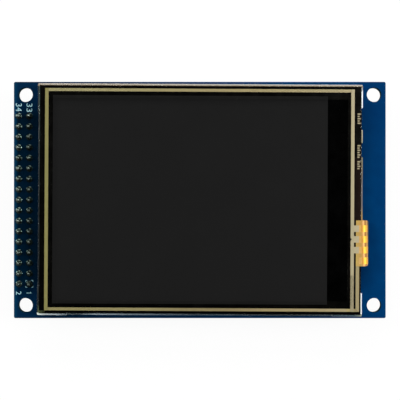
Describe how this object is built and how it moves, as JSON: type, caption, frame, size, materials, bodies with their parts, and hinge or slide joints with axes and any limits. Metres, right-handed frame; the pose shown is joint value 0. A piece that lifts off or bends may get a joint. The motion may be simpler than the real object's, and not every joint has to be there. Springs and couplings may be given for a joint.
{
  "type": "tft display module",
  "caption": "Flat colour display with a resistive touch screen on a blue carrier board with corner mounting holes and a two-row pin header on the back.",
  "frame": {"origin": "middle of the four mounting holes, on the back face of the carrier board", "axes": "+X runs from the pin header to the flexes along the board, +Y towards the top edge as seen from the front, +Z out of the screen"},
  "size_m": [0.09, 0.0572, 0.0146],
  "materials": {
    "solder_mask": "glossy blue solder mask over copper and glass cloth",
    "gold_plate": "thin gold over copper",
    "black_nylon": "matte moulded nylon",
    "pin_metal": "bright plated square wire",
    "solder": "bright solder with a dull skin",
    "mould_resin": "fine matte moulding compound",
    "tinned_lead": "tinned",
    "resistor_body": "glazed black face",
    "tinned_end": "matte tin",
    "capacitor_ceramic": "bare tan ceramic",
    "black_foam": "closed-cell foam",
    "white_plastic": "satin white moulding",
    "reflector_film": "satin white film",
    "clear_acrylic": "clear, polished",
    "diode_body": "white body with a yellow window",
    "cover_film_flex": "tan cover film",
    "optical_film": "translucent film",
    "black_tape": "black tape",
    "polariser_film": "dark satin polariser",
    "panel_glass": "clear thin glass",
    "silicon": "bare ground silicon",
    "amber_flex": "amber polyimide over copper",
    "gasket_foam": "black adhesive foam",
    "touch_glass": "clear coated glass",
    "silver_ink": "tan printed conductor seen through film",
    "clear_adhesive": "clear adhesive",
    "touch_film": "clear hard-coated film"
  },
  "bodies": {
    "root": {"pcb": "solder_mask", "header_lands": "gold_plate", "component_lands": "gold_plate", "flex_lands": "gold_plate", "header_strip": "black_nylon", "header_pins": "pin_metal", "header_solder": "solder", "display_flex_solder": "solder", "tail_solder": "solder", "touch_controller": "mould_resin", "backlight_transistor": "mould_resin", "touch_controller_leads": "tinned_lead", "transistor_leads": "tinned_lead", "resistors": "resistor_body", "resistor_ends": "tinned_end", "capacitor_ends": "tinned_end", "capacitors": "capacitor_ceramic", "foam_tapes": "black_foam", "backlight_frame": "white_plastic", "reflector_sheet": "reflector_film", "light_guide": "clear_acrylic", "backlight_leds": "diode_body", "led_flex": "cover_film_flex", "diffuser_sheet": "optical_film", "prism_sheet_lower": "optical_film", "prism_sheet_upper": "optical_film", "rim_tape": "black_tape", "rear_polariser": "polariser_film", "front_polariser": "polariser_film", "array_glass": "panel_glass", "colour_filter_glass": "panel_glass", "driver_chip": "silicon", "display_flex": "amber_flex", "touch_flex": "amber_flex", "touch_gasket": "gasket_foam", "touch_glass": "touch_glass", "glass_electrodes": "silver_ink", "film_electrodes": "silver_ink", "touch_spacer": "clear_adhesive", "touch_film": "touch_film"}
  },
  "joints": []
}
